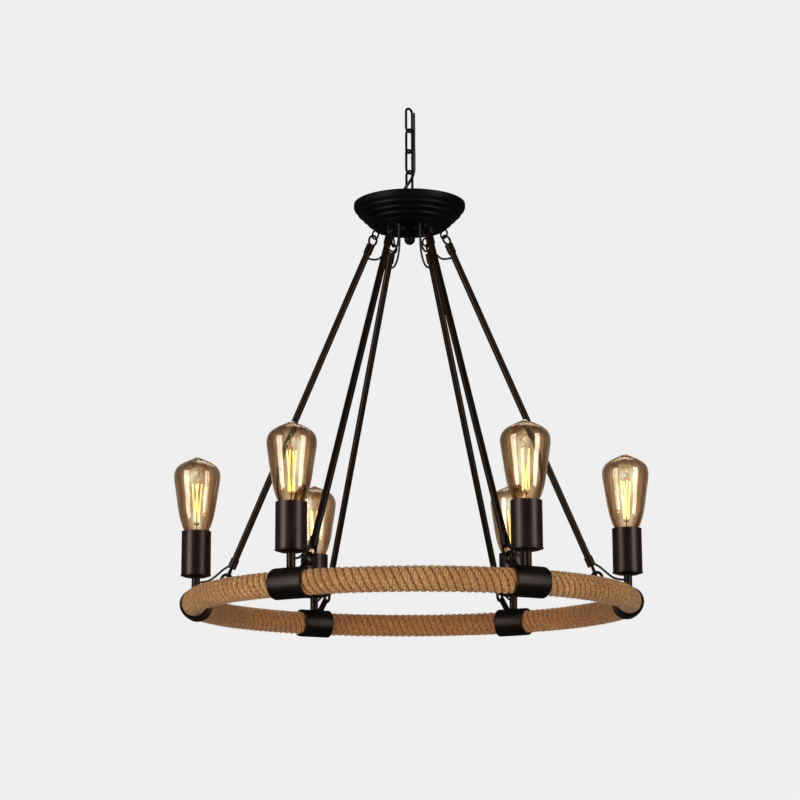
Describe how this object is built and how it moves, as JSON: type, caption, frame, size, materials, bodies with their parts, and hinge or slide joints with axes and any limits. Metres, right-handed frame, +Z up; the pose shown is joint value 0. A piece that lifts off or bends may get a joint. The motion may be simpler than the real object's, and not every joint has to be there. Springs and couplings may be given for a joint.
{
  "type": "rope ring chandelier",
  "caption": "Round chandelier on a chain: a rope-wound ring hung by straight rods from a small dished hub, with upright clear lamps in dark metal cups.",
  "frame": {"origin": "seat of the ceiling hook, under the crown of the top chain link, on the chandelier's upright centre line", "axes": "+Z up along the chain; +X towards the lamp at the right of the picture; -Y towards the viewer"},
  "size_m": [0.656, 0.6254, 0.7326],
  "materials": {
    "black_metal": "satin black enamel with a faint brown cast",
    "rope": "matte natural fibre rope, twisted, with loose hairs",
    "amber_glass": "clear smoked amber glass",
    "filament": "glowing filament sticks on fine wires and a glass stem",
    "cap_brass": "plain drawn brass",
    "plated_steel": "zinc plated",
    "porcelain": "glazed off-white",
    "lead_cover": "dark flexible lead cover",
    "flex_cover": "dark smooth flex cover"
  },
  "bodies": {
    "top_link": {"top_link": "black_metal"},
    "second_link": {"second_link": "black_metal"},
    "chandelier": {"rope_wrap_1": "rope", "band_1": "black_metal", "socket_cup_1": "black_metal", "rod_1": "black_metal", "rope_wrap_2": "rope", "band_2": "black_metal", "socket_cup_2": "black_metal", "rod_2": "black_metal", "rope_wrap_3": "rope", "band_3": "black_metal", "socket_cup_3": "black_metal", "rod_3": "black_metal", "rope_wrap_4": "rope", "band_4": "black_metal", "socket_cup_4": "black_metal", "rod_4": "black_metal", "rope_wrap_5": "rope", "band_5": "black_metal", "socket_cup_5": "black_metal", "rod_5": "black_metal", "rope_wrap_6": "rope", "band_6": "black_metal", "socket_cup_6": "black_metal", "rod_6": "black_metal", "ring_tube": "black_metal", "lamp_posts": "black_metal", "rod_eyes": "black_metal", "hub_pan": "black_metal", "hub_cover": "black_metal", "finial": "black_metal", "hub_loop": "black_metal", "hub_eye_bolts": "black_metal", "lower_links": "black_metal", "hub_nipple": "plated_steel", "hub_eye_nuts": "plated_steel", "lampholders": "porcelain", "screw_shells": "cap_brass", "lamp_leads": "lead_cover", "hub_leads": "lead_cover", "supply_flex": "flex_cover"},
    "bulb_1_cap": {"bulb_base_1": "cap_brass"},
    "bulb_1": {"bulb_glass_1": "amber_glass", "bulb_filament_1": "filament"},
    "bulb_2_cap": {"bulb_base_2": "cap_brass"},
    "bulb_2": {"bulb_glass_2": "amber_glass", "bulb_filament_2": "filament"},
    "bulb_3_cap": {"bulb_base_3": "cap_brass"},
    "bulb_3": {"bulb_glass_3": "amber_glass", "bulb_filament_3": "filament"},
    "bulb_4_cap": {"bulb_base_4": "cap_brass"},
    "bulb_4": {"bulb_glass_4": "amber_glass", "bulb_filament_4": "filament"},
    "bulb_5_cap": {"bulb_base_5": "cap_brass"},
    "bulb_5": {"bulb_glass_5": "amber_glass", "bulb_filament_5": "filament"},
    "bulb_6_cap": {"bulb_base_6": "cap_brass"},
    "bulb_6": {"bulb_glass_6": "amber_glass", "bulb_filament_6": "filament"}
  },
  "joints": [
    {"name": "chain_upper_swing", "type": "hinge", "parent": "top_link", "child": "second_link", "pos_m": [0, 0, -0.03305], "axis": [0.7071, 0.7071, 0], "range_deg": [-20, 20], "deforming": ["supply_flex"]},
    {"name": "chain_lower_swing", "type": "hinge", "parent": "second_link", "child": "chandelier", "pos_m": [0, 0, -0.06405], "axis": [-0.7071, 0.7071, 0], "range_deg": [-20, 20], "deforming": ["supply_flex"]},
    {"name": "bulb_1_lift", "type": "slide", "parent": "chandelier", "child": "bulb_1_cap", "axis": [0, 0, 1], "range_m": [0, 0.0182]},
    {"name": "bulb_1_turn", "type": "hinge", "parent": "bulb_1_cap", "child": "bulb_1", "pos_m": [0.296, 0, -0.6], "axis": [0, 0, 1], "range_deg": [0, 1800]},
    {"name": "bulb_2_lift", "type": "slide", "parent": "chandelier", "child": "bulb_2_cap", "axis": [0, 0, 1], "range_m": [0, 0.0182]},
    {"name": "bulb_2_turn", "type": "hinge", "parent": "bulb_2_cap", "child": "bulb_2", "pos_m": [0.148, 0.25634, -0.6], "axis": [0, 0, 1], "range_deg": [0, 1800]},
    {"name": "bulb_3_lift", "type": "slide", "parent": "chandelier", "child": "bulb_3_cap", "axis": [0, 0, 1], "range_m": [0, 0.0182]},
    {"name": "bulb_3_turn", "type": "hinge", "parent": "bulb_3_cap", "child": "bulb_3", "pos_m": [-0.148, 0.25634, -0.6], "axis": [0, 0, 1], "range_deg": [0, 1800]},
    {"name": "bulb_4_lift", "type": "slide", "parent": "chandelier", "child": "bulb_4_cap", "axis": [0, 0, 1], "range_m": [0, 0.0182]},
    {"name": "bulb_4_turn", "type": "hinge", "parent": "bulb_4_cap", "child": "bulb_4", "pos_m": [-0.296, 0, -0.6], "axis": [0, 0, 1], "range_deg": [0, 1800]},
    {"name": "bulb_5_lift", "type": "slide", "parent": "chandelier", "child": "bulb_5_cap", "axis": [0, 0, 1], "range_m": [0, 0.0182]},
    {"name": "bulb_5_turn", "type": "hinge", "parent": "bulb_5_cap", "child": "bulb_5", "pos_m": [-0.148, -0.25634, -0.6], "axis": [0, 0, 1], "range_deg": [0, 1800]},
    {"name": "bulb_6_lift", "type": "slide", "parent": "chandelier", "child": "bulb_6_cap", "axis": [0, 0, 1], "range_m": [0, 0.0182]},
    {"name": "bulb_6_turn", "type": "hinge", "parent": "bulb_6_cap", "child": "bulb_6", "pos_m": [0.148, -0.25634, -0.6], "axis": [0, 0, 1], "range_deg": [0, 1800]}
  ],
  "couplings": [
    {"joint": "bulb_1_lift", "follows": "bulb_1_turn", "m_per_rad": 0.00057757},
    {"joint": "bulb_2_lift", "follows": "bulb_2_turn", "m_per_rad": 0.00057757},
    {"joint": "bulb_3_lift", "follows": "bulb_3_turn", "m_per_rad": 0.00057757},
    {"joint": "bulb_4_lift", "follows": "bulb_4_turn", "m_per_rad": 0.00057757},
    {"joint": "bulb_5_lift", "follows": "bulb_5_turn", "m_per_rad": 0.00057757},
    {"joint": "bulb_6_lift", "follows": "bulb_6_turn", "m_per_rad": 0.00057757}
  ]
}
